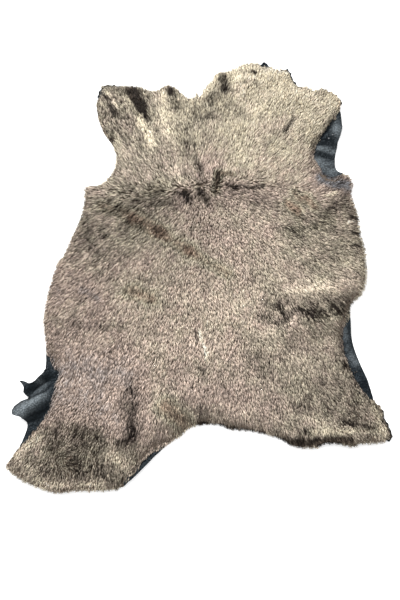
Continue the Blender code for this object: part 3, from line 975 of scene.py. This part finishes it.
hairs = locks * HAIRS
turn = rng.uniform(0, 2 * math.pi, hairs)
spread = np.sqrt(rng.uniform(0, 1, hairs)) * LOCK_SPREAD
offset_x, offset_y = spread * np.cos(turn), spread * np.sin(turn)
root_x, root_y = per_hair(lock_x) + offset_x, per_hair(lock_y) + offset_y
angle = per_hair(lock_angle) + rng.normal(0, HAIR_STRAY, hairs)
reach = per_hair(lock_length) * rng.uniform(*HAIR_UNLIKE, hairs)
drawn_x = per_hair(lock_x) + offset_x * (1 - CLUMPING)
drawn_y = per_hair(lock_y) + offset_y * (1 - CLUMPING)
tip_x, tip_y = ahead_of(drawn_x, drawn_y, angle, reach)
hair_tone = per_hair(lock_tone) + rng.normal(0, HAIR_TONE, hairs)

# %% Keep roots on the coat and tips near the cut edge
SLACK = 0.5 * MM  # how much nearer to an edge a hair's root may be
DRAWN_BACK = 0.3  # of its length, for a hair that would cover a bare edge
RIM_BAND = 7 * MM  # where hairs hang down over the cut edge
DROOP = 0.85  # of the coat's depth, how far
UNEVEN = 0.3 * MM  # how unlike the tips of a lock are in height
LEAST_TIP = 0.8 * MM  # above the underside
ROOT_DEPTH = 0.8 * MM  # below the underwool's surface

root_in_rim = sample(inside_rim, root_x, root_y)
rooted = sample(inside_coat, root_x, root_y) > COAT_INSET - SLACK
rooted &= root_in_rim > RIM_INSET - SLACK
share = held_in(root_x, root_y, tip_x, tip_y)
share[sample(kept_clear.astype(float), tip_x, tip_y) > 0.3] *= DRAWN_BACK
tip_x = root_x + (tip_x - root_x) * share
tip_y = root_y + (tip_y - root_y) * share

rim_hair = np.clip(1 - root_in_rim / RIM_BAND, 0, 1)
under_tip = sample(under, tip_x, tip_y)
full_tip = sample(top, tip_x, tip_y) - under_tip
tip_level = 1 - rim_hair * rng.uniform(0, DROOP, hairs)
tip_z = under_tip + full_tip * tip_level + per_hair(lock_lift) + rng.normal(0, UNEVEN, hairs)
tip_z = np.maximum(tip_z, under_tip + LEAST_TIP)
root_z = np.minimum(sample(bed, root_x, root_y) - ROOT_DEPTH, under_tip + full_tip)
print(int(rooted.sum()), "hairs are rooted on the coat")

# %% Bend each hair: up at its root, then over
WIDEST_AT = 0.40  # of its length
WIDEST_SHIFT = 0.06  # of its length, how far that varies
HALF_WIDTHS = (0.32 * MM, 0.62 * MM)
SLIMMEST = 0.75  # how wide a hair is where the coat is thin
BEND_HEIGHT = 0.95  # of the tip's height, where the hair bends over
ARCH = 0.02  # of its length, how far it arches above that
TWIST = 0.3  # how far it turns about its own line

widest_share = rng.uniform(-WIDEST_SHIFT, WIDEST_SHIFT, hairs) + WIDEST_AT
root = np.stack((root_x, root_y, root_z), 1)[rooted]
tip = np.stack((tip_x, tip_y, tip_z), 1)[rooted]
lie = tip - root
half = rng.uniform(*HALF_WIDTHS, hairs) * (SLIMMEST + (1 - SLIMMEST) * per_hair(fullness))
half = half[rooted, None]
widest = root + lie * widest_share[rooted, None]
widest[:, 2] = root[:, 2] + lie[:, 2] * BEND_HEIGHT + ARCH * reach[rooted]
tilt = rng.normal(0, TWIST, len(lie)) * np.hypot(*lie.T[:2])
sideways = np.stack((-lie[:, 1], lie[:, 0], tilt), 1)
sideways /= np.maximum(np.linalg.norm(sideways, axis=1, keepdims=True), 1e-9)

points = np.stack((root, widest + half * sideways, widest - half * sideways, tip), 1)
one_hair = np.array(((0, 2, 1), (1, 2, 3), (0, 1, 3), (0, 3, 2)))
print(len(root) * len(one_hair), "triangles of hair")

# %% [markdown]
# ## The hair's finish
# Each point of a hair carries three numbers: how far along the hair it is, and the hair's tone and warmth.
# The material turns them into colour: a dark brown root, a taupe middle, and a tip between mauve-grey and
# cream. Beyond those two it mixes in lavender-grey, russet or the near white of bleached tips. Reading
# attributes keeps the colour fixed to the hair, and costs nothing however many hairs there are. The dark
# lower part of each hair is partly its own dark root and partly painted shade low in the coat.

# %% Hair finish
MOST_TONE = 1.6  # fully bleached
LEAST_WARMTH = -1.4  # fully lavender-grey
MOST_WARMTH = 2.4  # fully russet

hair_finish, shader, add, link = new_material("coat hair", 0.6, 0.12)
along = stored(add, "along")
tone = stored(add, "tone")
warmth = stored(add, "warmth")

dark_tip = mix(add, link, warmth, (0.010, 0.006, 0.005, 1), (0.014, 0.009, 0.005, 1))
thin = add("MapRange", Value=warmth, From_Min=-0.2, From_Max=LEAST_WARMTH).outputs["Result"]
russet = add("MapRange", Value=warmth, From_Min=0.9, From_Max=MOST_WARMTH).outputs["Result"]
bleached = add("MapRange", Value=tone, From_Min=1.05, From_Max=MOST_TONE).outputs["Result"]
light_tip = mix(add, link, warmth, (0.84, 0.67, 0.57, 1), (0.86, 0.79, 0.60, 1))
light_tip = mix(add, link, thin, light_tip, (0.60, 0.61, 0.65, 1))
light_tip = mix(add, link, russet, light_tip, (0.82, 0.58, 0.43, 1))
tip_colour = mix(add, link, tone, dark_tip, light_tip)
tip_colour = mix(add, link, bleached, tip_colour, (0.95, 0.94, 0.85, 1))
# The root: partly the hair's own dark colour, partly painted shade on the lower part of each hair.
dark_root_and_shade = mix(add, link, tone, (0.012, 0.009, 0.007, 1), (0.20, 0.155, 0.115, 1))
up_the_hair = ramp(add, along, ((0.0, grey(0)), (0.3, grey(0.3)), (0.55, grey(0.85)), (1.0, grey(1))))
link(mix(add, link, up_the_hair, dark_root_and_shade, tip_colour), shader.inputs["Base Color"])

# %% Join the hairs into one mesh for each part of the coat
BANDS = ("coat_hind_legs", "coat_rump", "coat_loins", "coat_back", "coat_withers", "coat_neck")

borders = np.quantile(root[:, 1], np.linspace(0, 1, len(BANDS) + 1))
band_of = np.clip(np.searchsorted(borders, root[:, 1], side="right") - 1, 0, len(BANDS) - 1)
along_values = np.array((0, WIDEST_AT, WIDEST_AT, 1))
corners = points.shape[1]
tones = np.clip(hair_tone[rooted], 0, MOST_TONE)
warmths = np.clip(per_hair(lock_warmth)[rooted], LEAST_WARMTH, MOST_WARMTH)
for band, name in enumerate(BANDS):
    mine = band_of == band
    count = int(mine.sum())
    starts = np.arange(count)[:, None, None] * corners
    mesh = bpy.data.meshes.new(name)
    mesh.from_pydata(points[mine].reshape(-1, 3), [], (one_hair + starts).reshape(-1, 3))
    for attribute, values in (
        ("along", np.tile(along_values, count)),
        ("tone", np.repeat(tones[mine], corners)),
        ("warmth", np.repeat(warmths[mine], corners)),
    ):
        made = mesh.attributes.new(attribute, "FLOAT", "POINT")
        made.data.foreach_set("value", values.astype(np.float32))
    piece = add_piece(name, mesh, hair_finish)
    print(name, count, "hairs,", len(mesh.polygons), "triangles")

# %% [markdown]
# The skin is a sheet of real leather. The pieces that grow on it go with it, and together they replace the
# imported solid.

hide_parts("sheepskin")

# %% Bring the scene up to date


bpy.context.view_layer.update()
